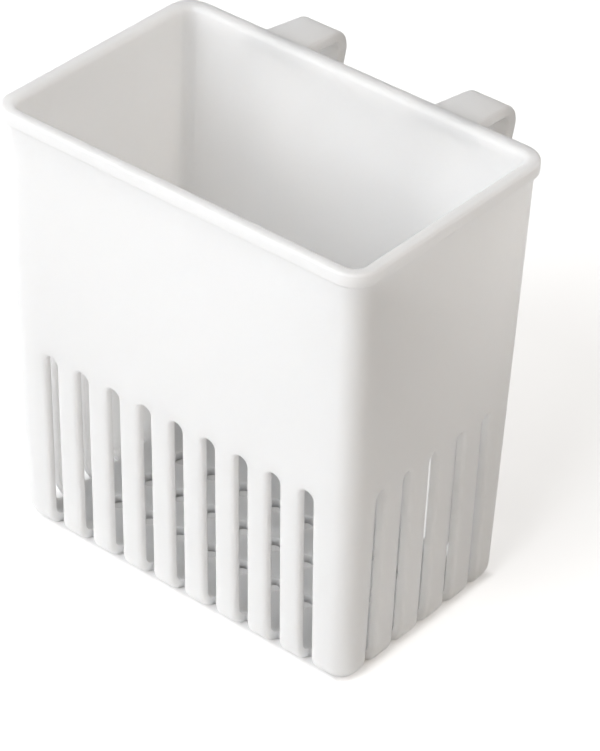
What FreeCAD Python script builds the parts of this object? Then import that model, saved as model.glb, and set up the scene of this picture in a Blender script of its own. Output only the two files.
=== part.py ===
"""Hanging cutlery bin: a tapered drainer with a rim bead, drain slots and two strap hooks.

Frame: millimetres, +Z up, origin in the middle of the underside. X runs along the length,
-Y is the front and +Y the back, where the hooks are.

The bin is modelled as one moulded shell, which is then parted where its features end: the plain
wall band, the bars between the slots, the corner posts, the floor, the rim bead and the hooks.
"""
import FreeCAD
import Part
import Sketcher
import math
import os

# Driving sizes: alias, value and meaning, in millimetres, degrees and counts
SIZES = (
    ("height", 95.0, "underside to the top of the rim"),
    ("base_length", 82.0, "outside length of the walls at the underside"),
    ("base_width", 47.0, "outside width of the walls at the underside"),
    ("mouth_length", 85.1, "outside length of the walls under the rim"),
    ("mouth_width", 53.4, "outside width of the walls under the rim"),
    ("corner", 4.4, "outside radius of the upright corners and of the foot"),
    ("wall", 2.0, "wall thickness"),
    ("floor", 2.0, "floor thickness"),
    ("foot_bevel", 1.5, "bevel between the inside of the walls and the floor"),
    ("rib_foot_share", 0.88, "share of the foot's radius that a rib takes before it meets the floor"),
    ("bead_height", 3.0, "height of the rim bead"),
    ("bead_overhang", 1.0, "how far the rim bead stands out from the walls"),
    ("bead_bevel", 0.9, "bevel of the rim bead's free edges"),
    ("slot_width", 3.2, "width of a drain slot"),
    ("slot_top", 42.8, "top of the drain slots above the underside"),
    ("front_slots", 9, "slots in the front, and as many in the back"),
    ("front_span_share", 0.765, "share of the foot's length between the middles of its end slots"),
    ("side_slots", 5, "slots in each end"),
    ("side_span_share", 0.668, "share of the foot's width between the middles of its end slots"),
    ("hole_diameter", 4.2, "drain hole in the floor"),
    ("hole_row_pitch", 9.6, "distance between the rows of drain holes"),
    ("hole_rows", 3, "rows of drain holes"),
    ("hook_spacing", 40.5, "distance between the middles of the hooks"),
    ("hook_root_width", 10.9, "strap width at the wall"),
    ("hook_bend_width", 9.5, "strap width where the bend starts"),
    ("hook_flare", 2.8, "radius in which the strap's sides spread into the rim bead"),
    ("hook_thickness", 2.4, "strap thickness"),
    ("hook_drop", 1.0, "rim top to the strap's upper face at its root"),
    ("hook_reach", 15.9, "back wall under the rim to the strap's furthest point"),
    ("hook_bend", 4.6, "outside radius of the bend"),
    ("hook_slope", 6.4, "fall of the strap towards the bend, in degrees"),
    ("hook_lean", 15.0, "lean of the leg towards the wall, in degrees"),
    ("hook_leg", 15.0, "straight length of the leg below the bend"),
    ("overrun", 5.0, "how far every cut runs past what it cuts"),
)

# Expressions that several features share
WALL_TOP = "(sizes.height - sizes.bead_height)"
SLOT_SPRING = "(sizes.slot_top - sizes.slot_width / 2)"
FOOT_REACH = "(sizes.corner * sizes.rib_foot_share)"
FLOOR_LENGTH = f"(sizes.base_length - 2 * {FOOT_REACH})"
FLOOR_WIDTH = f"(sizes.base_width - 2 * {FOOT_REACH})"
FLOOR_SHARE = f"(sizes.floor / {WALL_TOP})"
INNER_CORNER = "(sizes.corner - sizes.wall)"
FRONT_SPAN = "(sizes.base_length * sizes.front_span_share)"
SIDE_SPAN = "(sizes.base_width * sizes.side_span_share)"
REACH_LENGTH = "(sizes.base_length + sizes.mouth_length)"
REACH_WIDTH = "(sizes.base_width + sizes.mouth_width)"
HOOK_ROOT = "(sizes.mouth_width / 2 - sizes.wall / 2)"
HOOK_FAR = "(sizes.mouth_width / 2 + sizes.hook_reach)"
HOOK_CENTRE = f"({HOOK_FAR} - sizes.hook_bend)"
HOOK_NEAR = f"({HOOK_ROOT} - sizes.wall)"
FLARE_START = "(sizes.mouth_width / 2 + sizes.bead_overhang / 2)"
FLARE_END = f"({FLARE_START} + sizes.hook_flare)"

# Sketch places: the ends and centre of an edge, the origin, and the two axes
START, END, CENTRE = range(1, 4)
ORIGIN = (-1, 1)
ACROSS, UPRIGHT = -1, -2

# Settings of a pocket that cuts through both ways from its sketch
THROUGH = {"Type": "ThroughAll", "SideType": "Symmetric"}

# Smallest distance that counts as touching, a thousand times the modeller's own
NEAR = 1000 * Part.Precision.confusion()

doc = FreeCAD.newDocument("cutlery_bin")
sheet = doc.addObject("Spreadsheet::Sheet", "sizes")
for row, (alias, size, meaning) in enumerate(SIZES, start=1):
    sheet.set(f"A{row}", str(size))
    sheet.setAlias(f"A{row}", alias)
    sheet.set(f"B{row}", meaning)
doc.recompute()


def number(expression):
    """Value of an expression of the sheet, as a plain number."""
    value = sheet.evalExpression(expression)
    return float(getattr(value, "Value", value))


def bind(item, bindings):
    """Ties properties of a document object to expressions of the sheet."""
    for name, expression in bindings.items():
        item.setExpression(name, expression)


def origin_part(body, role):
    """One of the body's own origin planes or axes."""
    return next(item for item in body.Origin.OriginFeatures if item.Role == role)


def new_sketch(body, name, plane, offsets):
    """A sketch on one of the body's own origin planes, moved by offsets along the sketch's axes."""
    sketch = body.newObject("Sketcher::SketchObject", name)
    sketch.AttachmentSupport = (origin_part(body, plane), "")
    sketch.MapMode = "FlatFace"
    bind(sketch, {f"AttachmentOffset.Base.{axis}": offset for axis, offset in offsets.items()})
    return sketch


def new_feature(body, kind, name, profile=None, bindings=None, **settings):
    """A feature of the body, made from a sketch, with bound sizes and plain settings."""
    feature = body.newObject(f"PartDesign::{kind}", name)
    if profile is not None:
        feature.Profile = profile
    for key, setting in settings.items():
        setattr(feature, key, setting)
    bind(feature, bindings or {})
    body.Tip = feature
    doc.recompute()
    return feature


def add_line(sketch, start, end):
    """Adds a straight edge and returns its index."""
    ends = [FreeCAD.Vector(*point, 0) for point in (start, end)]
    return sketch.addGeometry(Part.LineSegment(*ends), False)


def add_arc(sketch, centre, radius, first, last):
    """Adds an arc that runs anticlockwise between two angles in degrees, and returns its index."""
    circle = Part.Circle(FreeCAD.Vector(*centre, 0), FreeCAD.Vector(0, 0, 1), radius)
    return sketch.addGeometry(Part.ArcOfCircle(circle, math.radians(first), math.radians(last)), False)


def add_polygon(sketch, corners):
    """Adds a closed outline of straight edges and returns their indices."""
    edges = [add_line(sketch, start, end) for start, end in zip(corners, corners[1:] + corners[:1])]
    for edge, following in zip(edges, edges[1:] + edges[:1]):
        rule(sketch, "Coincident", edge, END, following, START)
    return edges


def rule(sketch, *parts):
    """Adds a geometric rule."""
    return sketch.addConstraint(Sketcher.Constraint(*parts))


def measure(sketch, name, expression, kind, *places):
    """Adds a dimension that follows an expression of the sheet."""
    value = sheet.evalExpression(expression)
    index = sketch.addConstraint(Sketcher.Constraint(kind, *places, value))
    sketch.renameConstraint(index, name)
    sketch.setExpression(f"Constraints.{name}", expression)


def draw_rounded_rectangle(sketch, length, width, radius):
    """Draws a rectangle with round corners about the origin, from the middle of its right side round."""
    half_length, half_width, corner = (number(size) for size in (f"{length} / 2", f"{width} / 2", radius))
    flat_x, flat_y = half_length - corner, half_width - corner
    edges = [
        add_line(sketch, (half_length, 0), (half_length, flat_y)),
        add_arc(sketch, (flat_x, flat_y), corner, 0, 90),
        add_line(sketch, (flat_x, half_width), (-flat_x, half_width)),
        add_arc(sketch, (-flat_x, flat_y), corner, 90, 180),
        add_line(sketch, (-half_length, flat_y), (-half_length, -flat_y)),
        add_arc(sketch, (-flat_x, -flat_y), corner, 180, 270),
        add_line(sketch, (-flat_x, -half_width), (flat_x, -half_width)),
        add_arc(sketch, (flat_x, -flat_y), corner, 270, 360),
        add_line(sketch, (half_length, -flat_y), (half_length, 0)),
    ]
    right_up, corner_one, back, corner_two, left, corner_three, front, corner_four, right_down = edges
    for edge, following in zip(edges[:-1], edges[1:]):
        rule(sketch, "Tangent", edge, END, following, START)
    rule(sketch, "Coincident", right_down, END, right_up, START)
    rule(sketch, "PointOnObject", right_up, START, ACROSS)
    for edge in (right_up, left, right_down):
        rule(sketch, "Vertical", edge)
    for edge in (back, front):
        rule(sketch, "Horizontal", edge)
    for corner_arc in (corner_two, corner_three, corner_four):
        rule(sketch, "Equal", corner_one, corner_arc)
    rule(sketch, "Symmetric", corner_one, CENTRE, corner_three, CENTRE, *ORIGIN)
    measure(sketch, "length", length, "DistanceX", left, START, right_up, START)
    measure(sketch, "width", width, "DistanceY", front, START, back, START)
    measure(sketch, "radius", radius, "Radius", corner_one)


def draw_rectangle(sketch, length, width):
    """Draws a rectangle about the origin."""
    x, y = number(f"{length} / 2"), number(f"{width} / 2")
    front, right, back, left = add_polygon(sketch, [(-x, -y), (x, -y), (x, y), (-x, y)])
    for edge in (front, back):
        rule(sketch, "Horizontal", edge)
    for edge in (right, left):
        rule(sketch, "Vertical", edge)
    rule(sketch, "Symmetric", front, START, back, START, *ORIGIN)
    measure(sketch, "length", length, "DistanceX", front, START, front, END)
    measure(sketch, "width", width, "DistanceY", right, START, right, END)


def draw_slot(sketch):
    """Draws a slot about the upright axis, with a round top and an open foot below the underside."""
    half, spring, below = number("sizes.slot_width / 2"), number(SLOT_SPRING), number("sizes.overrun")
    top = add_arc(sketch, (0, spring), half, 0, 180)
    left = add_line(sketch, (-half, spring), (-half, -below))
    foot = add_line(sketch, (-half, -below), (half, -below))
    right = add_line(sketch, (half, -below), (half, spring))
    rule(sketch, "Tangent", top, END, left, START)
    rule(sketch, "Coincident", left, END, foot, START)
    rule(sketch, "Coincident", foot, END, right, START)
    rule(sketch, "Tangent", right, END, top, START)
    rule(sketch, "Vertical", left)
    rule(sketch, "Vertical", right)
    rule(sketch, "Symmetric", left, END, right, START, UPRIGHT)
    measure(sketch, "radius", "sizes.slot_width / 2", "Radius", top)
    measure(sketch, "spring", SLOT_SPRING, "DistanceY", *ORIGIN, top, CENTRE)
    measure(sketch, "below", "sizes.overrun", "DistanceY", left, END, *ORIGIN)


def make_shell():
    """The moulded shell: tapered walls with a rounded foot, open below for the floor, and drain slots."""
    body = doc.addObject("PartDesign::Body", "shell")

    def taper(kind, name, bottom, share, inset):
        """A block that follows the walls' taper from a share of their height up, drawn in by an inset."""
        block = body.newObject(f"PartDesign::{kind}Wedge", name)
        block.AttachmentSupport = (origin_part(body, "XZ_Plane"), "")
        block.MapMode = "FlatFace"
        bind(block, {"Ymin": bottom, "Ymax": WALL_TOP})
        for axis, side in (("X", "length"), ("Z", "width")):
            spread = f"(sizes.mouth_{side} - sizes.base_{side})"
            low = f"((sizes.base_{side} + {spread} * {share}) / 2 - {inset})"
            high = f"(sizes.mouth_{side} / 2 - {inset})"
            bind(block, {f"{axis}min": f"-{low}", f"{axis}max": low})
            bind(block, {f"{axis}2min": f"-{high}", f"{axis}2max": high})
        body.Tip = block
        doc.recompute()

    taper("Additive", "outer_form", "0", "0", "0")
    soften(body, "Fillet", "outer_corners", {"Radius": "sizes.corner"}, ("0", WALL_TOP), ("0", "0"))
    taper("Subtractive", "inner_form", "sizes.floor", FLOOR_SHARE, "sizes.wall")
    soften(body, "Fillet", "inner_corners", {"Radius": INNER_CORNER}, ("sizes.floor", WALL_TOP))
    soften(body, "Chamfer", "inner_foot", {"Size": "sizes.foot_bevel"}, ("sizes.floor", "sizes.floor"))

    floor_opening = new_sketch(body, "floor_opening", "XY_Plane", {})
    draw_rectangle(floor_opening, FLOOR_LENGTH, FLOOR_WIDTH)
    new_feature(body, "Pocket", "floor_cut", floor_opening, **THROUGH)

    for side, plane, axis, span in (
        ("front", "XZ_Plane", "X_Axis", FRONT_SPAN),
        ("side", "YZ_Plane", "Y_Axis", SIDE_SPAN),
    ):
        outline = new_sketch(body, f"{side}_slot", plane, {"x": f"-{span} / 2"})
        draw_slot(outline)
        slot = new_feature(body, "Pocket", f"{side}_slot_cut", outline, **THROUGH)
        new_feature(
            body, "LinearPattern", f"{side}_slot_row",
            bindings={"Length": span, "Occurrences": f"sizes.{side}_slots"},
            Originals=[slot], Direction=(origin_part(body, axis), [""]),
        )
    return body


def soften(body, kind, name, bindings, *spans):
    """Rounds or bevels the edges of the body's last feature that run from one given level to another."""
    base = body.Tip
    levels = [(number(low), number(high)) for low, high in spans]

    def chosen(edge):
        """Whether the edge's lowest and highest points lie on one of the pairs of levels."""
        box = edge.BoundBox
        return any(max(abs(box.ZMin - low), abs(box.ZMax - high)) < NEAR for low, high in levels)

    names = [f"Edge{index}" for index, edge in enumerate(base.Shape.Edges, start=1) if chosen(edge)]
    new_feature(body, kind, name, bindings=bindings, Base=(base, names))


def make_box(name, low, high):
    """A box between two corners given as expressions."""
    box = doc.addObject("Part::Box", name)
    sides = zip(("Length", "Width", "Height"), "xyz", low, high)
    for side, axis, start, end in sides:
        bind(box, {side: f"{end} - {start}", f"Placement.Base.{axis}": start})
    return box


def make_boolean(kind, name, base, tool):
    """A Part boolean of two objects."""
    result = doc.addObject(f"Part::{kind}", name)
    result.Base = base
    result.Tool = tool
    return result


def make_rim():
    """The rim bead: a square lip with bevelled edges, carried round the top of the walls."""
    body = doc.addObject("PartDesign::Body", "rim_bead")
    path = new_sketch(body, "rim_path", "XY_Plane", {"z": WALL_TOP})
    draw_rounded_rectangle(path, "sizes.mouth_length", "sizes.mouth_width", "sizes.corner")

    section = new_sketch(body, "rim_section", "XZ_Plane", {})
    inner_x = "(sizes.mouth_length / 2 - sizes.wall)"
    outer_x = "(sizes.mouth_length / 2 + sizes.bead_overhang)"
    left, right, low, high = (number(size) for size in (inner_x, outer_x, WALL_TOP, "sizes.height"))
    bevel = number("sizes.bead_bevel")
    under, low_edge, outside, top_edge, over, inner_edge, inside = add_polygon(section, [
        (left, low), (right - bevel, low), (right, low + bevel), (right, high - bevel),
        (right - bevel, high), (left + bevel, high), (left, high - bevel),
    ])
    for edge in (under, over):
        rule(section, "Horizontal", edge)
    for edge in (outside, inside):
        rule(section, "Vertical", edge)
    for name, edge, left_end, low_end in (
        ("low", low_edge, START, START),
        ("top", top_edge, END, START),
        ("inner", inner_edge, END, END),
    ):
        right_end, high_end = (START + END - place for place in (left_end, low_end))
        measure(section, f"{name}_width", "sizes.bead_bevel", "DistanceX", edge, left_end, edge, right_end)
        measure(section, f"{name}_height", "sizes.bead_bevel", "DistanceY", edge, low_end, edge, high_end)
    measure(section, "rise", "sizes.bead_height", "DistanceY", under, START, over, START)
    measure(section, "seat", WALL_TOP, "DistanceY", *ORIGIN, under, START)
    measure(section, "inner_face", inner_x, "DistanceX", *ORIGIN, under, START)
    measure(section, "outer_face", outer_x, "DistanceX", *ORIGIN, outside, START)
    doc.recompute()
    new_feature(body, "AdditivePipe", "rim_sweep", section, Spine=(path, [""]))
    return body


def make_floor():
    """The floor: a plate that fills the shell's opening, with a grid of drain holes between the slots."""
    body = doc.addObject("PartDesign::Body", "drain_floor")
    outline = new_sketch(body, "floor_outline", "XY_Plane", {})
    draw_rectangle(outline, FLOOR_LENGTH, FLOOR_WIDTH)
    new_feature(body, "Pad", "floor_plate", outline, {"Length": "sizes.floor"})

    columns_span = f"({FRONT_SPAN} * (sizes.front_slots - 2) / (sizes.front_slots - 1))"
    rows_span = "((sizes.hole_rows - 1) * sizes.hole_row_pitch)"
    corner = {"x": f"-{columns_span} / 2", "y": f"-{rows_span} / 2"}
    hole = new_sketch(body, "drain_hole", "XY_Plane", corner)
    radius = number("sizes.hole_diameter / 2")
    edge = hole.addGeometry(Part.Circle(FreeCAD.Vector(), FreeCAD.Vector(0, 0, 1), radius), False)
    rule(hole, "Coincident", edge, CENTRE, *ORIGIN)
    measure(hole, "diameter", "sizes.hole_diameter", "Diameter", edge)
    cut = new_feature(body, "Pocket", "drain_hole_cut", hole, **THROUGH)
    new_feature(
        body, "LinearPattern", "drain_hole_grid",
        bindings={
            "Length": columns_span, "Occurrences": "sizes.front_slots - 1",
            "Length2": rows_span, "Occurrences2": "sizes.hole_rows",
        },
        Originals=[cut],
        Direction=(origin_part(body, "X_Axis"), [""]),
        Direction2=(origin_part(body, "Y_Axis"), [""]),
    )
    return body


def make_strap(name, middle):
    """A hook's strap: a bent side profile, padded to its flared root's width and then narrowed in plan."""
    body = doc.addObject("PartDesign::Body", name)
    profile = new_sketch(body, f"{name}_profile", "YZ_Plane", {"z": middle})
    draw_strap_profile(profile)
    width = {"Length": f"{strap_width(FLARE_END)} + 2 * sizes.hook_flare"}
    new_feature(body, "Pad", f"{name}_pad", profile, width, SideType="Symmetric")
    plan = new_sketch(body, f"{name}_plan", "XY_Plane", {"x": middle})
    draw_strap_plan(plan)
    new_feature(body, "Pocket", f"{name}_taper", plan, **THROUGH)
    return body


def draw_strap_profile(sketch):
    """Draws the strap from the side: a sloping plate, a bend, and a leg with a round end that leans in."""
    root, top, centre = number(HOOK_ROOT), number("sizes.height - sizes.hook_drop"), number(HOOK_CENTRE)
    outer, thick, leg = (number(f"sizes.hook_{size}") for size in ("bend", "thickness", "leg"))
    slope, lean = number("sizes.hook_slope"), number("sizes.hook_lean")

    def turned(angle, radius, start):
        """The point at an angle and a distance from another point."""
        turn = math.radians(angle)
        return (start[0] + radius * math.cos(turn), start[1] + radius * math.sin(turn))

    tilt = math.radians(slope)
    fall = (centre - root + outer * math.sin(tilt)) * math.tan(tilt)
    bend = (centre, top - fall - outer * math.cos(tilt))
    knee, inner_knee = (turned(90 - slope, radius, bend) for radius in (outer, outer - thick))
    hip, inner_hip = (turned(-lean, radius, bend) for radius in (outer, outer - thick))
    tip, inner_tip = (turned(-90 - lean, leg, point) for point in (hip, inner_hip))
    tip_middle = turned(-lean, -thick / 2, tip)
    root_top = (root, top)
    root_low = (root, top - thick / math.cos(tilt))
    plate = add_line(sketch, root_top, knee)
    outer_bend = add_arc(sketch, bend, outer, -lean, 90 - slope)
    outer_leg = add_line(sketch, hip, tip)
    end = add_arc(sketch, tip_middle, thick / 2, 180 - lean, 360 - lean)
    inner_leg = add_line(sketch, inner_tip, inner_hip)
    inner_bend = add_arc(sketch, bend, outer - thick, -lean, 90 - slope)
    underside = add_line(sketch, inner_knee, root_low)
    back = add_line(sketch, root_low, root_top)
    for joint in (
        (plate, END, outer_bend, END),
        (outer_bend, START, outer_leg, START),
        (outer_leg, END, end, END),
        (end, START, inner_leg, START),
        (inner_leg, END, inner_bend, START),
        (inner_bend, END, underside, START),
    ):
        rule(sketch, "Tangent", *joint)
    rule(sketch, "Coincident", underside, END, back, START)
    rule(sketch, "Coincident", back, END, plate, START)
    rule(sketch, "Coincident", inner_bend, CENTRE, outer_bend, CENTRE)
    rule(sketch, "Vertical", back)
    rule(sketch, "Parallel", plate, underside)
    rule(sketch, "Parallel", outer_leg, inner_leg)
    measure(sketch, "bend", "sizes.hook_bend", "Radius", outer_bend)
    measure(sketch, "inner_bend", "sizes.hook_bend - sizes.hook_thickness", "Radius", inner_bend)
    measure(sketch, "slope", "-sizes.hook_slope * 1 deg", "Angle", plate)
    measure(sketch, "lean", "-(90 + sizes.hook_lean) * 1 deg", "Angle", outer_leg)
    measure(sketch, "centre", HOOK_CENTRE, "DistanceX", *ORIGIN, outer_bend, CENTRE)
    measure(sketch, "root", HOOK_ROOT, "DistanceX", *ORIGIN, plate, START)
    measure(sketch, "top", "sizes.height - sizes.hook_drop", "DistanceY", *ORIGIN, plate, START)
    measure(sketch, "leg", "sizes.hook_leg", "Distance", outer_leg)


def strap_width(place):
    """Expression for the strap's width at a place behind the wall, before its flare: it narrows evenly."""
    share = f"(({place} - {HOOK_NEAR}) / ({HOOK_CENTRE} - {HOOK_NEAR}))"
    return f"(sizes.hook_root_width + (sizes.hook_bend_width - sizes.hook_root_width) * {share})"


def draw_strap_plan(sketch):
    """Draws what is cut from the strap's sides: a frame round the flared and tapered plan that it keeps."""
    far_y = f"({HOOK_FAR} + sizes.overrun)"
    places = (HOOK_NEAR, FLARE_START, FLARE_END, far_y)
    near, flare_start, flare_end, far = (number(place) for place in places)
    slim, narrow = number(f"{strap_width(FLARE_END)} / 2"), number(f"{strap_width(far_y)} / 2")
    flare, margin = number("sizes.hook_flare"), number("sizes.overrun")
    wide = slim + flare
    edges = [
        add_line(sketch, (-wide, near), (wide, near)),
        add_line(sketch, (wide, near), (wide, flare_start)),
        add_line(sketch, (slim, flare_end), (narrow, far)),
        add_line(sketch, (narrow, far), (-narrow, far)),
        add_line(sketch, (-narrow, far), (-slim, flare_end)),
        add_line(sketch, (-wide, flare_start), (-wide, near)),
    ]
    root, right_step, right_side, end, left_side, left_step = edges
    right_flare = add_arc(sketch, (wide, flare_end), flare, 180, 270)
    left_flare = add_arc(sketch, (-wide, flare_end), flare, 270, 360)
    for joint in (
        (root, END, right_step, START),
        (right_step, END, right_flare, END),
        (right_flare, START, right_side, START),
        (right_side, END, end, START),
        (end, END, left_side, START),
        (left_side, END, left_flare, END),
        (left_flare, START, left_step, START),
        (left_step, END, root, START),
    ):
        rule(sketch, "Coincident", *joint)
    front, side, back, other_side = add_polygon(sketch, [
        (-wide - margin, near - margin), (wide + margin, near - margin),
        (wide + margin, far + margin), (-wide - margin, far + margin),
    ])
    for edge in (root, end, front):
        rule(sketch, "Symmetric", edge, START, edge, END, UPRIGHT)
    rule(sketch, "Symmetric", right_flare, START, left_flare, END, UPRIGHT)
    rule(sketch, "Symmetric", right_flare, END, left_flare, START, UPRIGHT)
    rule(sketch, "Vertical", right_flare, CENTRE, right_flare, END)
    rule(sketch, "Horizontal", right_flare, CENTRE, right_flare, START)
    rule(sketch, "Equal", right_flare, left_flare)
    for edge in (right_step, side, other_side):
        rule(sketch, "Vertical", edge)
    rule(sketch, "Horizontal", back)
    measure(sketch, "flare", "sizes.hook_flare", "Radius", right_flare)
    measure(sketch, "flare_start", FLARE_START, "DistanceY", *ORIGIN, right_flare, END)
    measure(sketch, "slim_width", strap_width(FLARE_END), "DistanceX", left_flare, END, right_flare, START)
    measure(sketch, "far_width", strap_width(far_y), "DistanceX", end, END, end, START)
    measure(sketch, "near", HOOK_NEAR, "DistanceY", *ORIGIN, root, START)
    measure(sketch, "far", far_y, "DistanceY", *ORIGIN, end, START)
    frame_width = f"{strap_width(FLARE_END)} + 2 * (sizes.hook_flare + sizes.overrun)"
    measure(sketch, "frame_width", frame_width, "DistanceX", front, START, front, END)
    measure(sketch, "frame_near", "sizes.overrun", "DistanceY", front, START, root, START)
    measure(sketch, "frame_far", "sizes.overrun", "DistanceY", end, START, back, START)


def part_shell(shell):
    """Parts the moulded shell into its wall band, the bars of each side and the corner posts."""
    left, right = f"-{REACH_LENGTH}", REACH_LENGTH
    front, back = f"-{REACH_WIDTH}", REACH_WIDTH
    below, above = "-sizes.overrun", "sizes.height"
    front_ends = (f"-{FRONT_SPAN} / 2", f"{FRONT_SPAN} / 2")
    side_ends = (f"-{SIDE_SPAN} / 2", f"{SIDE_SPAN} / 2")
    regions = {
        "wall_band": ((left, front, SLOT_SPRING), (right, back, above)),
        "front_ribs": ((front_ends[0], front, below), (front_ends[1], "0", SLOT_SPRING)),
        "back_ribs": ((front_ends[0], "0", below), (front_ends[1], back, SLOT_SPRING)),
        "left_ribs": ((left, side_ends[0], below), ("0", side_ends[1], SLOT_SPRING)),
        "right_ribs": (("0", side_ends[0], below), (right, side_ends[1], SLOT_SPRING)),
    }
    pieces = []
    for name, (low, high) in regions.items():
        pieces.append(make_boolean("Common", name, shell, make_box(f"{name}_region", low, high)))
    lower = make_box("lower_region", (left, front, below), (right, back, SLOT_SPRING))
    bars = make_boolean(
        "Fuse", "bar_regions",
        make_box("long_region", (front_ends[0], front, below), (front_ends[1], back, SLOT_SPRING)),
        make_box("cross_region", (left, side_ends[0], below), (right, side_ends[1], SLOT_SPRING)),
    )
    corners = make_boolean("Cut", "corner_region", lower, bars)
    return [*pieces, make_boolean("Common", "corner_posts", shell, corners)]


def make_hook(name, side, seats):
    """A hook, whose root is shaped to the bead and the wall that carry it."""
    piece = make_strap(f"{name}_strap", f"{side} * sizes.hook_spacing / 2")
    for seat in seats:
        piece = make_boolean("Cut", f"{name}_on_{seat.Label}", piece, seat)
    piece.Label = name
    return piece


def write(pieces):
    """Checks every object and writes each piece to a file of its own."""
    doc.recompute()
    failed = [item.Label for item in doc.Objects if {"Invalid", "Error"} & set(item.State)]
    unsound = [piece.Label for piece in pieces if piece.Shape.isNull() or not piece.Shape.isValid()]
    if failed or unsound:
        raise RuntimeError(f"failed objects: {failed}; unsound pieces: {unsound}")
    os.makedirs("parts", exist_ok=True)
    for piece in pieces:
        solids = piece.Shape.Solids
        print(piece.Label, len(solids), "solids", round(piece.Shape.Volume), "mm3")
        piece.Shape.exportStep(f"parts/{piece.Label}.step")


def main():
    """Builds the pieces in order and writes them."""
    walls = part_shell(make_shell())
    rim = make_rim()
    left_hook = make_hook("left_hook", -1, (rim, walls[0]))
    right_hook = make_hook("right_hook", 1, (rim, walls[0]))
    write([*walls, rim, make_floor(), left_hook, right_hook])


main()
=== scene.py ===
"""White hanging cutlery bin: one seamless moulding with drain slots, and two strap hooks behind its rim.

Frame: +Z up, origin in the middle of the underside, -Y the front, +Y the back, where the hooks are.
Sizes are written in millimetres, and every mesh is made in metres.
"""
import logging
import math
from dataclasses import dataclass
from enum import Enum

import bmesh
import bpy
import numpy as np
from mathutils import Matrix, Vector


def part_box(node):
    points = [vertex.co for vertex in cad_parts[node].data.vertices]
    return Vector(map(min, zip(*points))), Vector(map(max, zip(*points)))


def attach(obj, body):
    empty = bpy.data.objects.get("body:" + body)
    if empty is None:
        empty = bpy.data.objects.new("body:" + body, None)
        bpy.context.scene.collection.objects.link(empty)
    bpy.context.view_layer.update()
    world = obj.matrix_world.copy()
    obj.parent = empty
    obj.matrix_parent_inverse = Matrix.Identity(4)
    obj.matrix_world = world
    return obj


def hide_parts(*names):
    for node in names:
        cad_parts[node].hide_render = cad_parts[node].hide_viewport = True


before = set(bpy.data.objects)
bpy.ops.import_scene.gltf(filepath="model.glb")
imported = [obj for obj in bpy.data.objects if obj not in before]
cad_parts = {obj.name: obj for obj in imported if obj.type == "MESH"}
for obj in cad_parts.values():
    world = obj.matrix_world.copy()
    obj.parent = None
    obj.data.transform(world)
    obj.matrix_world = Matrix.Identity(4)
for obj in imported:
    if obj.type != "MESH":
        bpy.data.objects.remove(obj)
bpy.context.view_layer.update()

LOG = logging.getLogger("cutlery_bin")
MILLIMETRE = 0.001
BODY = "root"
WELD = 0.002


def grid_faces(rows: int, columns: int, ring: bool = False) -> np.ndarray:
    """Quads between neighbouring points of a grid that is stored row by row.

    Args:
        rows: number of rows of points.
        columns: number of points in a row.
        ring: whether the last column joins the first.

    Returns:
        Point indices, four to a quad, whose normals follow the columns' way crossed with the rows' way.
    """
    row = np.arange(rows - 1)[:, None] * columns
    column = np.arange(columns if ring else columns - 1)[None, :]
    after = (column + 1) % columns
    corners = (row + column, row + after, row + columns + after, row + columns + column)
    return np.stack(corners, axis=-1).reshape(-1, 4)


def arc(centre: tuple[float, float], radius: float, first: float, last: float, steps: int) -> np.ndarray:
    """Points on a circular arc: the centre plus the radius times the cosine and sine of evenly spaced angles.

    Args:
        centre: the arc's centre.
        radius: the arc's radius.
        first: angle of the first point in degrees.
        last: angle of the last point in degrees.
        steps: number of equal steps between them.

    Returns:
        One pair of coordinates for each point.
    """
    angle = np.radians(np.linspace(first, last, steps + 1))
    return np.array(centre) + radius * np.stack((np.cos(angle), np.sin(angle)), axis=-1)


@dataclass
class Patch:
    """A piece of surface: points in millimetres and quads between them."""

    points: np.ndarray
    faces: np.ndarray

    @classmethod
    def from_grid(cls, grid: np.ndarray, ring: bool = False, inward: bool = False) -> "Patch":
        """Makes a patch of a grid of points, joined in a ring or turned inward where that is asked for."""
        faces = grid_faces(grid.shape[0], grid.shape[1], ring)
        return cls(grid.reshape(-1, 3), faces[:, ::-1] if inward else faces)


class Side(Enum):
    """The four walls, in order round the bin seen from above, by the way that each one faces."""

    FRONT = (0, -1)
    RIGHT = (1, 0)
    BACK = (0, 1)
    LEFT = (-1, 0)

    @property
    def outward(self) -> np.ndarray:
        """The wall's outward direction in plan."""
        return np.array(self.value, float)

    @property
    def along(self) -> np.ndarray:
        """The direction to the right along the wall, seen from outside."""
        x, y = self.value
        return np.array((-y, x), float)

    @property
    def lengthways(self) -> bool:
        """Whether the wall is one of the two long ones."""
        return self in (Side.FRONT, Side.BACK)


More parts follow.
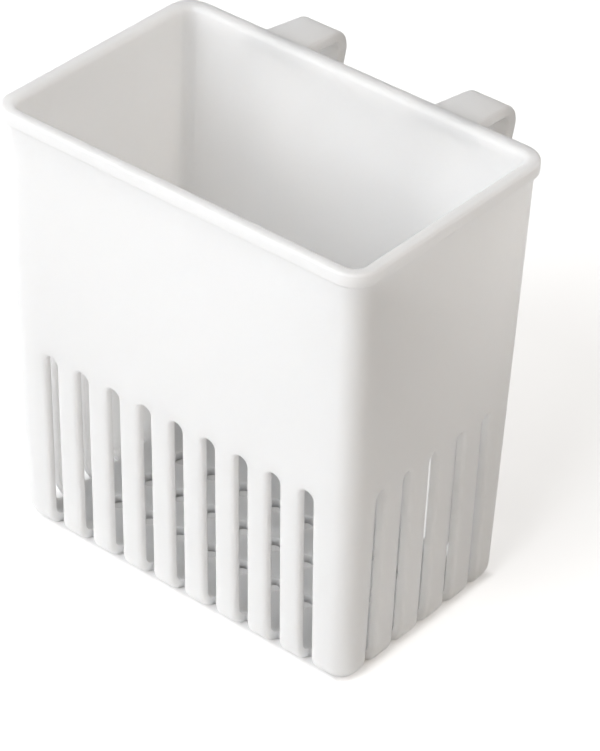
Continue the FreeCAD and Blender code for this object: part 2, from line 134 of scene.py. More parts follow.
@dataclass(frozen=True)
class ShellSizes:
    """Sizes of the moulded shell in millimetres, and the path that its walls follow down to the floor.

    A border is the strip of wall or floor round a slot that is made with it.
    """

    height: float = 95.0
    base_length: float = 82.0
    base_width: float = 47.0
    mouth_length: float = 85.1
    mouth_width: float = 53.4
    corner: float = 4.4
    wall: float = 2.0
    bead_height: float = 3.0
    bead_overhang: float = 0.99
    bead_top_round: float = 0.55
    bead_low_round: float = 0.7
    bead_inner_round: float = 1.2
    bead_root_round: float = 0.08
    slot_width: float = 3.3
    slot_top: float = 42.8
    slot_edge_round: float = 0.6
    side_slot_width: float = 2.6
    side_edge_round: float = 0.75
    slot_inner_round: float = 0.25
    slot_end_round: float = 0.8
    front_slots: int = 9
    front_span_share: float = 0.765
    side_slots: int = 5
    side_span_share: float = 0.668
    rib_foot_share: float = 0.88
    slot_border: float = 2.3
    end_border: float = 0.5
    floor_border: float = 0.6
    hole_diameter: float = 4.2
    hole_row_pitch: float = 9.6
    hole_rows: int = 3
    hole_lip: float = 0.3

    FOOT_POINTS = 13
    RISE_POINTS = 9

    @property
    def wall_top(self) -> float:
        """Height at which the rim bead starts."""
        return self.height - self.bead_height

    @property
    def foot_run(self) -> float:
        """Run along the path at which the foot's rounding has turned level with the floor."""
        return -self.corner * math.pi / 2

    @property
    def slot_spring(self) -> float:
        """Run along the path at which a slot's round top starts."""
        return self.slot_top - self.slot_width / 2 - self.corner

    @property
    def slot_line(self) -> float:
        """Run along the path of the line above the slots, where the plain wall starts."""
        return self.slot_top + self.slot_border - self.corner

    @property
    def slot_end(self) -> float:
        """Run along the path at which a slot ends under the foot."""
        return -self.corner * math.acos(1 - self.rib_foot_share)

    def path(self, run: np.ndarray, depth: np.ndarray) -> tuple[np.ndarray, np.ndarray]:
        """The walls' path: straight up above the foot, a quarter circle round it, and level under the floor.

        Args:
            run: length along the outside, zero where the wall meets the foot's rounding and negative below.
            depth: distance from the outside into the wall.

        Returns:
            The reach outward from the rounding's axis, and the height.
        """
        turn = np.clip(-run / self.corner, 0, math.pi / 2)
        radius = self.corner - depth
        reach = radius * np.cos(turn) + np.minimum(run - self.foot_run, 0)
        height = self.corner - radius * np.sin(turn) + np.maximum(run, 0)
        return reach, height

    def post_runs(self) -> np.ndarray:
        """Runs of the rows of points between the floor and the plain wall, from the bottom up."""
        above = np.linspace(self.slot_spring, self.slot_line, SlotMouth.SIDE_STEPS + 1)[1:]
        return np.concatenate(([self.foot_run], self.slot_runs(), above))

    def slot_runs(self) -> np.ndarray:
        """Runs of the points up a slot's straight side, round the foot and up the wall."""
        foot = np.linspace(self.slot_end + self.slot_end_round, 0, self.FOOT_POINTS)
        return np.concatenate((foot, np.linspace(0, self.slot_spring, self.RISE_POINTS)[1:]))


@dataclass(frozen=True)
class Wall:
    """One tapered wall: its set-back, its lean, and the slots along it."""

    sizes: ShellSizes
    side: Side

    @property
    def half(self) -> float:
        """Distance from the middle to the wall's outside at the underside."""
        across = self.sizes.base_width if self.side.lengthways else self.sizes.base_length
        return across / 2

    @property
    def lean(self) -> float:
        """How far the wall leans out for each millimetre of height."""
        mouth = self.sizes.mouth_width if self.side.lengthways else self.sizes.mouth_length
        return (mouth / 2 - self.half) / self.sizes.wall_top

    @property
    def centres(self) -> np.ndarray:
        """Places of the slots' middles along the wall, evenly spaced over the slots' span.

        Returns:
            One place for each slot, from left to right.
        """
        sizes = self.sizes
        if self.side.lengthways:
            span, slots = sizes.base_length * sizes.front_span_share, sizes.front_slots
        else:
            span, slots = sizes.base_width * sizes.side_span_share, sizes.side_slots
        return np.linspace(-span / 2, span / 2, slots)

    @property
    def slot_width(self) -> float:
        """Width of the wall's slots."""
        return self.sizes.slot_width if self.side.lengthways else self.sizes.side_slot_width

    @property
    def edge_round(self) -> float:
        """Rounding of the slots' outer edges."""
        return self.sizes.slot_edge_round if self.side.lengthways else self.sizes.side_edge_round

    @property
    def edge(self) -> float:
        """Place along the wall at which the slots' borders end and the corner starts."""
        return self.centres[-1] + self.slot_width / 2 + self.edge_round + self.sizes.end_border

    def mouths(self) -> list["SlotMouth"]:
        """The wall's slots, each with a border that meets its neighbours' half way along a bar.

        Returns:
            The slots from left to right.
        """
        centres = self.centres
        middles = (centres[:-1] + centres[1:]) / 2
        borders = np.concatenate(([-self.edge], middles, [self.edge]))
        return [SlotMouth(self, *place) for place in zip(centres, borders[:-1], borders[1:])]

    def place(self, across: np.ndarray, reach: np.ndarray, height: np.ndarray) -> np.ndarray:
        """Points of the wall: along it by the place across, and outward by set-back, lean and reach.

        Args:
            across: places along the wall.
            reach: reach outward from the axis of the foot's rounding.
            height: heights above the underside.

        Returns:
            Points, with the coordinates in the last axis.
        """
        leaning = self.lean * np.minimum(height, self.sizes.wall_top)
        outward = self.half - self.sizes.corner + leaning + reach
        plan = across[..., None] * self.side.along + outward[..., None] * self.side.outward
        return np.concatenate((plan, height[..., None]), axis=-1)


@dataclass(frozen=True)
class SlotMouth:
    """One drain slot with its round top, softened edges and the piece of wall and floor round it."""

    wall: Wall
    centre: float
    left: float
    right: float

    SIDE_STEPS = 3
    TOP_STEPS = 5
    END_STEPS = 3
    END_SHARE = 0.6
    OUTER_STEPS = 6
    INNER_STEPS = 4
    FLAT_SHARES = (1.0, 0.4)

    def top_places(self) -> np.ndarray:
        """Places along the wall of the border's points above the slot, from left to right."""
        left = np.linspace(self.left, self.centre, self.TOP_STEPS + 1)
        return np.concatenate((left, np.linspace(self.centre, self.right, self.TOP_STEPS + 1)[1:]))

    def outline(self) -> tuple[np.ndarray, np.ndarray, np.ndarray]:
        """The slot's outline in the flat, once round from the first point of its right side.

        It has straight sides, half an ellipse for a top, and a level end between two quarter circles.

        Returns:
            Points on the outline, directions away from the slot there, and points on the border, each as
            a place along the wall and a run along its path.
        """
        sizes = self.wall.sizes
        half, spring, line = self.wall.slot_width / 2, sizes.slot_spring, sizes.slot_line
        runs = sizes.slot_runs()
        flat = np.zeros_like(runs)
        up = np.stack((flat + self.right, runs), axis=-1)
        down = np.stack((flat + self.left, runs), axis=-1)[::-1]

        steps = self.SIDE_STEPS + self.TOP_STEPS
        angles = np.linspace(0, math.pi, 2 * steps + 1)[1:-1]
        top_away = np.stack((np.cos(angles), np.sin(angles)), axis=-1)
        top = np.array((self.centre, spring)) + np.array((half, sizes.slot_width / 2)) * top_away
        rise = np.linspace(spring, line, self.SIDE_STEPS + 1)[1:-1]
        over = self.top_places()[::-1]
        top_border = np.concatenate((
            np.stack((np.full_like(rise, self.right), rise), axis=-1),
            np.stack((over, np.full_like(over, line)), axis=-1),
            np.stack((np.full_like(rise, self.left), rise[::-1]), axis=-1),
        ))

        bend, end, foot = sizes.slot_end_round, sizes.slot_end, sizes.foot_run
        low = foot - sizes.floor_border
        left_near = self.centre + (self.left - self.centre) * self.END_SHARE
        right_near = self.centre + (self.right - self.centre) * self.END_SHARE
        steps = self.END_STEPS
        left_arc = arc((self.centre - half + bend, end + bend), bend, 180, 270, steps)[1:]
        right_arc = arc((self.centre + half - bend, end + bend), bend, 270, 360, steps)[:-1]
        bottom = np.concatenate((left_arc, [(self.centre, end)], right_arc))
        left_away = arc((0, 0), 1, 180, 270, steps)[1:]
        right_away = arc((0, 0), 1, 270, 360, steps)[:-1]
        bottom_away = np.concatenate((left_away, [(0, -1)], right_away))
        bottom_border = np.array((
            (self.left, foot), (self.left, low), (left_near, low), (self.centre, low),
            (right_near, low), (self.right, low), (self.right, foot),
        ))

        sideways = np.stack((flat + 1, flat), axis=-1)
        right_side = np.stack((flat + self.centre + half, runs), axis=-1)
        left_side = np.stack((flat + self.centre - half, runs), axis=-1)[::-1]
        outline = np.concatenate((right_side, top, left_side, bottom))
        away = np.concatenate((sideways, top_away, -sideways, bottom_away))
        border = np.concatenate((up, top_border, down, bottom_border))
        return outline, away, border

    def patch(self) -> Patch:
        """The slot's surround: its outline carried through a section with a rounded edge on each face.

        The section runs from the border along the outside, round the outer edge, through the wall, round the
        inner edge and back to the border along the inside. Each row is the outline moved away from the slot
        by the section's offset, then drawn towards the border by its share, at the section's depth.

        Returns:
            The patch.
        """
        sizes = self.wall.sizes
        outline, away, border = self.outline()
        soft, inner, thick = self.wall.edge_round, sizes.slot_inner_round, sizes.wall
        mouth = arc((soft, soft), soft, 270, 180, self.OUTER_STEPS)
        back = arc((inner, thick - inner), inner, 180, 90, self.INNER_STEPS)
        shares = np.array(self.FLAT_SHARES)
        flats = len(shares)
        offset = np.concatenate(([soft] * flats, mouth[:, 0], back[:, 0], [inner] * flats))
        depth = np.concatenate(([0] * flats, mouth[:, 1], back[:, 1], [thick] * flats))
        share = np.concatenate((shares, np.zeros(len(mouth) + len(back)), shares[::-1]))
        flat = outline + offset[:, None, None] * away
        flat = flat + share[:, None, None] * (border - flat)
        reach, height = sizes.path(flat[..., 1], depth[:, None])
        return Patch.from_grid(self.wall.place(flat[..., 0], reach, height), ring=True)


@dataclass(frozen=True)
class Corner:
    """The round corner between one wall and the next, from slot border to slot border."""

    wall: Wall
    following: Wall

    FLAT_STEPS = 3
    TURN_STEPS = 14

    def place(self, reach: np.ndarray, height: np.ndarray) -> np.ndarray:
        """Points of the corner: a stretch of the first wall, a quarter turn, and a stretch of the next wall.

        A point lies at the corner's leaning axis, or on the way to it from the slot's border, plus the reach
        in the direction that the column faces.

        Args:
            reach: one reach for each row.
            height: one height for each row.

        Returns:
            A grid of points, with a row for each height and a column for each place round the corner.
        """
        flat = np.linspace(0, 1, self.FLAT_STEPS + 1)
        turn = np.linspace(0, math.pi / 2, self.TURN_STEPS + 1)[1:-1]
        inset = self.wall.sizes.corner
        first = np.concatenate((np.ones_like(flat), np.ones_like(turn), flat[::-1]))
        second = np.concatenate((flat, np.ones_like(turn), np.ones_like(flat)))
        face = np.concatenate((np.zeros_like(flat), turn, np.full_like(flat, math.pi / 2)))
        rows, out = height[:, None], reach[:, None]
        leaning = np.minimum(rows, self.wall.sizes.wall_top)
        axis_first = self.wall.half - inset + self.wall.lean * leaning
        axis_second = self.following.half - inset + self.following.lean * leaning
        near, far = self.following.edge, self.wall.edge
        to_first = near + first * (axis_first - near) + out * np.cos(face)
        to_second = far + second * (axis_second - far) + out * np.sin(face)
        sides = self.wall.side.outward, self.following.side.outward
        plan = to_first[..., None] * sides[0] + to_second[..., None] * sides[1]
        upright = np.broadcast_to(rows[..., None], (*to_first.shape, 1))
        return np.concatenate((plan, upright), axis=-1)

    def post(self) -> list[Patch]:
        """The corner's post between the slots and round the foot, carried along the walls' path.

        Returns:
            The outside and the inside.
        """
        sizes = self.wall.sizes
        runs = sizes.post_runs()
        outside = self.place(*sizes.path(runs, np.zeros_like(runs)))
        inside = self.place(*sizes.path(runs, np.full_like(runs, sizes.wall)))
        return [Patch.from_grid(outside), Patch.from_grid(inside, inward=True)]


@dataclass(frozen=True)
class RimAndWalls:
    """The plain upper wall and the rim bead, a lip with soft edges, as one section carried round the bin."""

    sizes: ShellSizes

    WALL_POINTS = 10
    ROOT_STEPS = 4
    LOW_STEPS = 5
    TOP_STEPS = 8
    LIP_STEPS = 9
    PLACE_DIGITS = 6

    def section(self) -> tuple[np.ndarray, np.ndarray]:
        """The section: up the outside, out under the bead, up its face, over its top and down the inside.

        Returns:
            Depth into the wall, negative outside it, and height, for each point of the section.
        """
        sizes = self.sizes
        start, foot, top = sizes.slot_line + sizes.corner, sizes.wall_top, sizes.height
        face, root, inner = sizes.bead_overhang, sizes.bead_root_round, sizes.bead_inner_round
        low, high = sizes.bead_low_round, sizes.bead_top_round
        rising = np.linspace(start, foot - root, self.WALL_POINTS)[:-1]
        outside = np.stack((np.zeros_like(rising), rising), axis=-1)
        under = arc((root, foot - root), root, 180, 90, self.ROOT_STEPS)
        low_edge = arc((face - low, foot + low), low, 270, 360, self.LOW_STEPS)
        top_edge = arc((face - high, top - high), high, 0, 90, self.TOP_STEPS)
        lip = arc((inner - sizes.wall, top - inner), inner, 90, 180, self.LIP_STEPS)
        falling = np.linspace(foot - root, start, self.WALL_POINTS)
        inside = np.stack((np.full_like(falling, -sizes.wall), falling), axis=-1)
        outline = np.concatenate((outside, under, low_edge, top_edge, lip, inside))
        return -outline[:, 0], outline[:, 1]

    def patches(self, walls: list[Wall], corners: list[Corner]) -> list[Patch]:
        """The section carried along each wall and round each corner.

        Args:
            walls: the four walls.
            corners: the four corners.

        Returns:
            One patch for each.
        """
        depth, height = self.section()
        reach = self.sizes.corner - depth
        made = [Patch.from_grid(corner.place(reach, height)) for corner in corners]
        for wall in walls:
            places = np.concatenate([mouth.top_places() for mouth in wall.mouths()])
            across, rows = np.meshgrid(np.unique(np.round(places, self.PLACE_DIGITS)), height)
            reaches = np.broadcast_to(reach[:, None], rows.shape)
            made.append(Patch.from_grid(wall.place(across, reaches, rows)))
        return made


@dataclass(frozen=True)
class DrainFloor:
    """The drain holes of the floor, in columns that stand in line with the bars."""

    sizes: ShellSizes
    columns: np.ndarray

    POINTS = 36
    LIP_STEPS = 4

    def patches(self) -> list[Patch]:
        """Each hole's wall: a section with rounded lips, turned about the hole's axis.

        Returns:
            One patch for each hole.
        """
        sizes = self.sizes
        lip, radius, thick = sizes.hole_lip, sizes.hole_diameter / 2, sizes.wall
        low = arc((radius + lip, lip), lip, 270, 180, self.LIP_STEPS)
        high = arc((radius + lip, thick - lip), lip, 180, 90, self.LIP_STEPS)
        section = np.concatenate((low, high))[::-1]
        turn = np.linspace(0, 2 * math.pi, self.POINTS, endpoint=False)
        around = np.stack((np.cos(turn), np.sin(turn)), axis=-1)
        last = (sizes.hole_rows - 1) / 2 * sizes.hole_row_pitch
        rows = np.linspace(-last, last, sizes.hole_rows)
        made = []
        for x, y in np.stack(np.meshgrid(self.columns, rows), axis=-1).reshape(-1, 2):
            plan = np.array((x, y)) + section[:, None, :1] * around
            height = np.broadcast_to(section[:, 1, None, None], (*plan.shape[:2], 1))
            made.append(Patch.from_grid(np.concatenate((plan, height), axis=-1), ring=True))
        return made


@dataclass(frozen=True)
class SatinPlastic:
    """White moulded plastic that lets light through, a little cloudy, with a satin sheen and a fine grain.

    The scales of its noises are per metre, and its depths are in millimetres.
    """

    name: str = "satin_white_plastic"
    light: tuple[float, float, float] = (0.975, 0.972, 0.966)
    shade: tuple[float, float, float] = (0.96, 0.956, 0.948)
    cloud_scale: float = 18.0
    cloud_detail: float = 3.0
    roughness: tuple[float, float] = (0.36, 0.46)
    sheen_scale: float = 60.0
    sheen_detail: float = 4.0
    grain_scale: float = 2600.0
    grain_detail: float = 2.0
    grain_depth: float = 0.02
    specular: float = 0.3
    glow_weight: float = 1.0
    glow_reach: tuple[float, float, float] = (1.0, 0.97, 0.94)
    glow_depth: float = 11.0

    # Places of the colour sockets on a mix node.
    MIX_SHARE, MIX_FIRST, MIX_SECOND, MIX_RESULT = 0, 6, 7, 2

    def build(self) -> bpy.types.Material:
        """Makes the material from noise in object coordinates.

        Returns:
            The material.
        """
        material = bpy.data.materials.new(self.name)
        material.use_nodes = True
        nodes, links = material.node_tree.nodes, material.node_tree.links
        shader = nodes["Principled BSDF"]
        shader.inputs["Specular IOR Level"].default_value = self.specular
        shader.inputs["Subsurface Weight"].default_value = self.glow_weight
        shader.inputs["Subsurface Radius"].default_value = self.glow_reach
        shader.inputs["Subsurface Scale"].default_value = self.glow_depth * MILLIMETRE
        place = nodes.new("ShaderNodeTexCoord").outputs["Object"]

        def noise(scale: float, detail: float) -> bpy.types.NodeSocket:
            """A noise of the object's place.

            Args:
                scale: how fine the noise is.
                detail: how many finer layers it has.

            Returns:
                The noise's value.
            """
            texture = nodes.new("ShaderNodeTexNoise")
            texture.inputs["Scale"].default_value = scale
            texture.inputs["Detail"].default_value = detail
            links.new(place, texture.inputs["Vector"])
            return texture.outputs["Fac"]

        tint = nodes.new("ShaderNodeMix")
        tint.data_type = "RGBA"
        tint.inputs[self.MIX_FIRST].default_value = (*self.shade, 1)
        tint.inputs[self.MIX_SECOND].default_value = (*self.light, 1)
        links.new(noise(self.cloud_scale, self.cloud_detail), tint.inputs[self.MIX_SHARE])
        links.new(tint.outputs[self.MIX_RESULT], shader.inputs["Base Color"])

        sheen = nodes.new("ShaderNodeMapRange")
        sheen.inputs["To Min"].default_value, sheen.inputs["To Max"].default_value = self.roughness
        links.new(noise(self.sheen_scale, self.sheen_detail), sheen.inputs["Value"])
        links.new(sheen.outputs["Result"], shader.inputs["Roughness"])

        grain = nodes.new("ShaderNodeBump")
        grain.inputs["Strength"].default_value = 1
        grain.inputs["Distance"].default_value = self.grain_depth * MILLIMETRE
        links.new(noise(self.grain_scale, self.grain_detail), grain.inputs["Height"])
        links.new(grain.outputs["Normal"], shader.inputs["Normal"])
        return material


def make_mesh(name: str, patches: list[Patch]) -> bmesh.types.BMesh:
    """Joins patches into one mesh in metres, with the points that they share welded.

    Args:
        name: the piece's name.
        patches: pieces of surface that meet along their edges.

    Returns:
        The joined mesh.
    """
    starts = np.cumsum([0] + [len(patch.points) for patch in patches[:-1]])
    points = np.concatenate([patch.points for patch in patches]) * MILLIMETRE
    faces = np.concatenate([patch.faces + start for patch, start in zip(patches, starts)])
    data = bpy.data.meshes.new(f"{name}_patches")
    data.from_pydata(points, [], faces)
    mesh = bmesh.new()
    mesh.from_mesh(data)
    bpy.data.meshes.remove(data)
    bmesh.ops.remove_doubles(mesh, verts=mesh.verts, dist=WELD * MILLIMETRE)
    return mesh


def make_piece(
    name: str, mesh: bmesh.types.BMesh, finish: bpy.types.Material, *nodes: str
) -> bpy.types.Object:
    """Makes a smooth piece of the object from a closed mesh, in place of the nodes it stands for.

    Args:
        name: the piece's name.
        mesh: its closed mesh, which is used up.
        finish: its material.
        nodes: names of the nodes that it replaces.

    Returns:
        The piece.
    """
    bmesh.ops.recalc_face_normals(mesh, faces=mesh.faces)
    data = bpy.data.meshes.new(name)
    mesh.to_mesh(data)
    mesh.free()
    data.shade_smooth()
    data.materials.append(finish)
    piece = bpy.data.objects.new(name, data)
    bpy.context.scene.collection.objects.link(piece)
    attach(piece, BODY)
    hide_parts(*nodes)
    return piece


def open_edges(data: bpy.types.Mesh) -> int:
    """Counts the edges of a mesh that don't join exactly two faces.

    Args:
        data: the mesh.

    Returns:
        The number of such edges, which is nought for a closed mesh.
    """
    edges = np.empty(len(data.loops), np.int32)
    data.loops.foreach_get("edge_index", edges)
    return int(np.count_nonzero(np.bincount(edges, minlength=len(data.edges)) != 2))


@dataclass(frozen=True)
class Moulding:
    """The whole moulded bin: walls, slots, corners, rim and floor in one closed skin."""

    sizes: ShellSizes

    NAME = "moulded_bin"
    NODES = (
        "rim_bead", "wall_band", "front_ribs", "back_ribs",
        "left_ribs", "right_ribs", "corner_posts", "drain_floor",
    )

    def build(self, finish: bpy.types.Material) -> bpy.types.Object:
        """Joins the patches, and closes the floor between the walls and the holes.

        Args:
            finish: the plastic.

        Returns:
            The piece.
        """
        walls = [Wall(self.sizes, side) for side in Side]
        corners = [Corner(*pair) for pair in zip(walls, walls[1:] + walls[:1])]
        mouths = [mouth for wall in walls for mouth in wall.mouths()]
        patches = [mouth.patch() for mouth in mouths]
        patches += [patch for corner in corners for patch in corner.post()]
        patches += RimAndWalls(self.sizes).patches(walls, corners)
        centres = walls[0].centres
        patches += DrainFloor(self.sizes, (centres[:-1] + centres[1:]) / 2).patches()
        mesh = make_mesh(self.NAME, patches)
        self.close_floor(mesh)
        return make_piece(self.NAME, mesh, finish, *self.NODES)

    def close_floor(self, mesh: bmesh.types.BMesh) -> None:
        """Fills the flat floor above and below, between the walls' open edge and the holes' lips.

        Args:
            mesh: the joined patches, whose only open edges are the floor's.
        """
        middle = self.sizes.wall / 2 * MILLIMETRE
        edges = [edge for edge in mesh.edges if edge.is_boundary]
        upper = [edge for edge in edges if edge.verts[0].co.z > middle]
        lower = [edge for edge in edges if edge.verts[0].co.z <= middle]
        bmesh.ops.triangle_fill(mesh, use_beauty=True, edges=upper, normal=(0, 0, 1))
        bmesh.ops.triangle_fill(mesh, use_beauty=True, edges=lower, normal=(0, 0, -1))


@dataclass(frozen=True)
class StrapHook:
    """A strap that slopes back from under the rim, bends down and leans in towards the wall.

    Lengths are in millimetres and angles in degrees. The drop is measured from the top of the rim, and the
    reach from the outside of the wall.
    """

    name: str
    middle: float
    sizes: ShellSizes
    root_width: float = 10.9
    bend_width: float = 9.5
    thickness: float = 2.4
    drop: float = 1.0
    reach: float = 15.9
    bend: float = 4.6
    slope: float = 6.4
    lean: float = 15.0
    leg: float = 15.0
    edge_round: float = 0.6
    root_flare: float = 2.8
    root_fillet: float = 1.4
    tip_narrowing_share: float = 0.12

    EDGE_STEPS = 5
    ROOT_POINTS = 6
    FLARE_POINTS = 11
    PLATE_POINTS = 5
    BEND_STEPS = 18
    LEG_POINTS = 7
    TIP_POINTS = 9
    # Where the root's width is measured, as a share of the wall's thickness in from its outside.
    WIDTH_START_SHARE = 1.5

    @property
    def flare_start(self) -> float:
        """Place inside the rim bead from which the strap's sides run clear of it."""
        return self.sizes.mouth_width / 2 + self.sizes.bead_overhang / 2

    def stations(self) -> tuple[np.ndarray, np.ndarray, np.ndarray]:
        """The strap's upper and outer face from the side: a sloping line, an arc, a leaning line and the tip.

        Returns:
            Points of the face, directions from it into the strap, and how far each station has closed
            round the tip, as an angle.
        """
        tilt, lean = math.radians(self.slope), math.radians(self.lean)
        wall = self.sizes.mouth_width / 2
        root = wall - self.sizes.wall / 2
        far = wall + self.reach - self.bend
        top = self.sizes.height - self.drop
        fall = (far - root + self.bend * math.sin(tilt)) * math.tan(tilt)
        centre = (far, top - fall - self.bend * math.cos(tilt))
        knee = far + self.bend * math.sin(tilt)
        start = self.flare_start
        near = start + self.root_flare * (1 - np.cos(np.linspace(0, math.pi / 2, self.FLARE_POINTS)))
        before = np.linspace(root, start, self.ROOT_POINTS)[:-1]
        beyond = np.linspace(near[-1], knee, self.PLATE_POINTS)[1:-1]
        along = np.concatenate((before, near, beyond))
        plate = np.stack((along, top - (along - root) * math.tan(tilt)), axis=-1)
        bent = arc(centre, self.bend, 90 - self.slope, -self.lean, self.BEND_STEPS)
        down = np.array((-math.sin(lean), -math.cos(lean)))
        leg = bent[-1] + np.linspace(0, self.leg, self.LEG_POINTS)[1:, None] * down
        closing = np.linspace(0, math.pi / 2, self.TIP_POINTS)[1:]
        tip = leg[-1] + self.thickness / 2 * np.sin(closing)[:, None] * down
        into_plate = np.broadcast_to((-math.sin(tilt), -math.cos(tilt)), plate.shape)
        into_bend = (np.array(centre) - bent) / self.bend
        into_leg = np.broadcast_to((-math.cos(lean), math.sin(lean)), (len(leg) + len(tip), 2))
        face = np.concatenate((plate, bent, leg, tip))
        into = np.concatenate((into_plate, into_bend, into_leg))
        closed = np.concatenate((np.zeros(len(face) - len(tip)), closing))
        return face, into, closed

    def widths(self, face: np.ndarray) -> np.ndarray:
        """Width at each station: narrowing evenly backward, and flaring in a quarter circle at the root.

        Args:
            face: points of the strap's upper and outer face.

        Returns:
            One width for each point.
        """
        wall = self.sizes.mouth_width / 2
        start = wall - self.sizes.wall * self.WIDTH_START_SHARE
        far = wall + self.reach - self.bend
        even = self.root_width + (self.bend_width - self.root_width) * (face[:, 0] - start) / (far - start)
        clear = np.clip(face[:, 0] - self.flare_start, 0, self.root_flare)
        flare = self.root_flare - np.sqrt(self.root_flare**2 - (self.root_flare - clear) ** 2)
        return even + 2 * flare

    def thicknesses(self, face: np.ndarray) -> np.ndarray:
        """Thickness at each station: even, with a quarter-circle fillet under the root.

        Args:
            face: points of the strap's upper and outer face.

        Returns:
            One thickness for each point.
        """
        clear = np.clip(face[:, 0] - self.sizes.mouth_width / 2, 0, self.root_fillet)
        fillet = self.root_fillet - np.sqrt(self.root_fillet**2 - (self.root_fillet - clear) ** 2)
        return self.thickness + fillet

    def build(self, finish: bpy.types.Material) -> bpy.types.Object:
        """Carries a rounded rectangle along the strap and closes it at the tip and inside the wall.

        A point lies half the width across and half the thickness in, each less the edge's rounding, plus that
        rounding's radius times the cosine and sine of its turn. Round the tip its distance from the middle of
        the thickness shrinks by the cosine of the closing angle.

        Args:
            finish: the plastic.

        Returns:
            The piece.
        """
        face, into, closed = self.stations()
        soft = self.edge_round
        quarter = np.radians(np.linspace(0, 90, self.EDGE_STEPS + 1))
        turn = np.concatenate([quarter + math.pi / 2 * corner for corner in range(4)])
        side = np.repeat((1, -1, -1, 1), len(quarter))
        level = np.repeat((1, 1, -1, -1), len(quarter))
        open_share = np.cos(closed[:, None])
        half = self.widths(face)[:, None] / 2 * (1 - self.tip_narrowing_share * (1 - open_share))
        thick = self.thicknesses(face)[:, None]
        across = side * (half - soft) + soft * np.cos(turn)
        inward = thick / 2 + (level * (thick / 2 - soft) + soft * np.sin(turn)) * open_share
        profile = face[:, None, :] + inward[..., None] * into[:, None, :]
        grid = np.concatenate((self.middle + across[..., None], profile), axis=-1)
        grid[0, :, 1:] = profile[0].mean(axis=0)
        mesh = make_mesh(self.name, [Patch.from_grid(grid, ring=True)])
        bmesh.ops.holes_fill(mesh, edges=mesh.edges, sides=0)
        return make_piece(f"{self.name}_strap", mesh, finish, self.name)


@dataclass(frozen=True)
class PhotoCamera:
    """The camera at the photograph's place.

    Angles are in degrees, lengths in millimetres, and the shift and the image's height in pixels.
    """

    azimuth: float = 38.494
    elevation: float = 35.327
    roll: float = 2.056
    distance: float = 690.7
    pixels_per_mm: float = 5.310
    shift: tuple[float, float] = (-37.56, -30.60)
    target_height: float = 47.5
    image_height: int = 751
    sensor: float = 36.0
    clip: tuple[float, float] = (10.0, 20000.0)

    def build(self) -> None:
        """Makes the camera, whose long sensor side is the photograph's height."""
        turn, rise, roll = (math.radians(angle) for angle in (self.azimuth, self.elevation, self.roll))
        ahead = math.cos(rise)
        look = np.array((-math.sin(turn) * ahead, math.cos(turn) * ahead, -math.sin(rise)))
        level = np.array((math.cos(turn), math.sin(turn), 0))
        upright = np.cross(level, look)
        right = math.cos(roll) * level + math.sin(roll) * upright
        up = -math.sin(roll) * level + math.cos(roll) * upright
        across, rise_by = (size / self.pixels_per_mm for size in self.shift)
        target = np.array((0, 0, self.target_height)) - across * right + rise_by * up
        place = target - self.distance * look
        data = bpy.data.cameras.new("photo_camera")
        data.sensor_width = self.sensor
        data.lens = self.sensor * self.pixels_per_mm * self.distance / self.image_height
        data.clip_start, data.clip_end = (limit * MILLIMETRE for limit in self.clip)
        camera = bpy.data.objects.new("photo_camera", data)
        matrix = np.eye(4)
        matrix[:3] = np.stack((right, up, -look, place * MILLIMETRE), axis=-1)
        camera.matrix_world = Matrix(matrix.tolist())
        bpy.context.scene.collection.objects.link(camera)
        bpy.context.scene.camera = camera


@dataclass(frozen=True)
class Lamp:
    """A square soft lamp: bearing from the front and height in degrees, power in watts, lengths in metres."""

    name: str
    bearing: float
    height: float
    power: float
    colour: tuple[float, float, float] = (1, 1, 1)
    size: float = 1.0
    distance: float = 1.5

    def build(self) -> None:
        """Makes the lamp at its bearing, with its face turned to the origin."""
        data = bpy.data.lights.new(self.name, "AREA")
        data.size, data.energy, data.color = self.size, self.power, self.colour
        lamp = bpy.data.objects.new(self.name, data)
        turn, rise = math.radians(self.bearing), math.radians(self.height)
        away = math.cos(rise)
        back = np.array((math.sin(turn) * away, -math.cos(turn) * away, math.sin(rise)))
        right = np.array((math.cos(turn), math.sin(turn), 0))
        matrix = np.eye(4)
        matrix[:3] = np.stack((right, np.cross(back, right), back, self.distance * back), axis=-1)
        lamp.matrix_world = Matrix(matrix.tolist())
        bpy.context.scene.collection.objects.link(lamp)


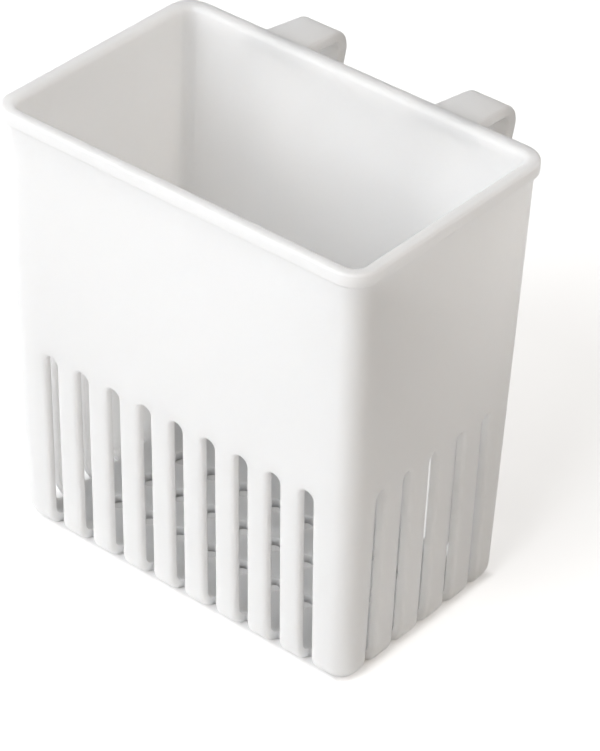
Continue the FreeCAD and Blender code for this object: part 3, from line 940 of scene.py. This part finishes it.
@dataclass(frozen=True)
class Studio:
    """A plain pale floor, a white background and soft lamps.

    The floor's half length is in metres. The floor glows to look white, but not under the bin, where the glow
    is taken away over a share of the foot as painted shade.
    """

    sizes: ShellSizes
    floor_half: float = 3.0
    floor_colour: tuple[float, float, float] = (0.8, 0.8, 0.8)
    floor_glow: float = 0.56
    # Share of half the foot inside which the floor's glow is taken away: painted shade under the bin.
    painted_shade_share: float = 0.9
    lamps: tuple[Lamp, ...] = (
        Lamp("front_key", bearing=-3, height=38, power=17.5, colour=(0.985, 1.0, 1.02)),
        Lamp("left_fill", bearing=-52, height=30, power=9.8),
        Lamp("top_soft", bearing=0, height=88, power=1.8),
        Lamp("back_soft", bearing=150, height=30, power=4.5),
        Lamp("right_warm", bearing=68, height=40, power=2.8, colour=(1.0, 0.72, 0.42)),
    )

    def build(self) -> None:
        """Makes the world, the floor and the lamps."""
        bpy.context.scene.view_settings.view_transform = "Standard"
        self.make_world()
        self.make_floor()
        for lamp in self.lamps:
            lamp.build()

    @staticmethod
    def seen_directly(tree: bpy.types.NodeTree) -> bpy.types.NodeSocket:
        """Whether a ray shows a surface as it is seen, also in a mirror or through glass.

        Args:
            tree: the nodes to add to.

        Returns:
            One for such rays, and nought for rays that carry light.
        """
        rays = tree.nodes.new("ShaderNodeLightPath")
        seen = rays.outputs["Is Camera Ray"]
        for name in ("Is Glossy Ray", "Is Transmission Ray"):
            either = tree.nodes.new("ShaderNodeMath")
            either.operation = "MAXIMUM"
            tree.links.new(seen, either.inputs[0])
            tree.links.new(rays.outputs[name], either.inputs[1])
            seen = either.outputs["Value"]
        return seen

    def glow_with_painted_shade(self, tree: bpy.types.NodeTree) -> bpy.types.NodeSocket:
        """The floor's glow where the floor lies open, and none under the bin's foot, which paints shade
        there.

        The larger of the two distances from the middle, as shares of half the foot, sets how much is left.

        Args:
            tree: the nodes to add to.

        Returns:
            The strength of the glow.
        """
        foot = self.sizes.base_length / 2 * MILLIMETRE, self.sizes.base_width / 2 * MILLIMETRE
        place = tree.nodes.new("ShaderNodeTexCoord")
        shares = tree.nodes.new("ShaderNodeVectorMath")
        shares.operation = "DIVIDE"
        shares.inputs[1].default_value = (*foot, 1)
        tree.links.new(place.outputs["Object"], shares.inputs[0])
        across = tree.nodes.new("ShaderNodeVectorMath")
        across.operation = "ABSOLUTE"
        tree.links.new(shares.outputs["Vector"], across.inputs[0])
        axes = tree.nodes.new("ShaderNodeSeparateXYZ")
        tree.links.new(across.outputs["Vector"], axes.inputs["Vector"])
        farther = tree.nodes.new("ShaderNodeMath")
        farther.operation = "MAXIMUM"
        tree.links.new(axes.outputs["X"], farther.inputs[0])
        tree.links.new(axes.outputs["Y"], farther.inputs[1])
        # Painted shade: the glow fades to nought inside a share of the foot, under the bin.
        fade = tree.nodes.new("ShaderNodeMapRange")
        fade.inputs["From Min"].default_value = self.painted_shade_share
        fade.inputs["To Max"].default_value = self.floor_glow
        tree.links.new(farther.outputs["Value"], fade.inputs["Value"])
        return fade.outputs["Result"]

    def make_world(self) -> None:
        """A world that looks white and gives no light."""
        world = bpy.data.worlds.new("white_studio")
        world.use_nodes = True
        tree = world.node_tree
        background = tree.nodes["Background"]
        background.inputs["Color"].default_value = (1, 1, 1, 1)
        tree.links.new(self.seen_directly(tree), background.inputs["Strength"])
        bpy.context.scene.world = world

    def make_floor(self) -> None:
        """A matt floor that keeps the object's shadow and looks white where none falls, with painted shade
        under the bin where its glow is taken away.
        """
        half = self.floor_half
        data = bpy.data.meshes.new("studio_floor")
        corners = [(-half, -half, 0), (half, -half, 0), (half, half, 0), (-half, half, 0)]
        data.from_pydata(corners, [], [(0, 1, 2, 3)])
        material = bpy.data.materials.new("pale_floor")
        material.use_nodes = True
        tree = material.node_tree
        shader = tree.nodes["Principled BSDF"]
        shader.inputs["Base Color"].default_value = (*self.floor_colour, 1)
        shader.inputs["Roughness"].default_value = 1
        shader.inputs["Specular IOR Level"].default_value = 0
        shader.inputs["Emission Color"].default_value = (1, 1, 1, 1)
        glow = tree.nodes.new("ShaderNodeMath")
        glow.operation = "MULTIPLY"
        tree.links.new(self.seen_directly(tree), glow.inputs[0])
        tree.links.new(self.glow_with_painted_shade(tree), glow.inputs[1])
        tree.links.new(glow.outputs["Value"], shader.inputs["Emission Strength"])
        data.materials.append(material)
        floor = bpy.data.objects.new("studio_floor", data)
        bpy.context.scene.collection.objects.link(floor)


def main() -> None:
    """Builds the bin, its hooks, the camera and the studio, and reports each piece."""
    logging.basicConfig(level=logging.INFO, format="%(name)s %(message)s")
    sizes = ShellSizes()
    plastic = SatinPlastic().build()
    pieces = [Moulding(sizes).build(plastic)]
    for name in ("left_hook", "right_hook"):
        low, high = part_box(name)
        pieces.append(StrapHook(name, (low[0] + high[0]) / 2 / MILLIMETRE, sizes).build(plastic))
    for piece in pieces:
        data = piece.data
        LOG.info("%s: %d faces, %d open edges", piece.name, len(data.polygons), open_edges(data))
    PhotoCamera().build()
    Studio(sizes).build()


if __name__ == "__main__":
    main()
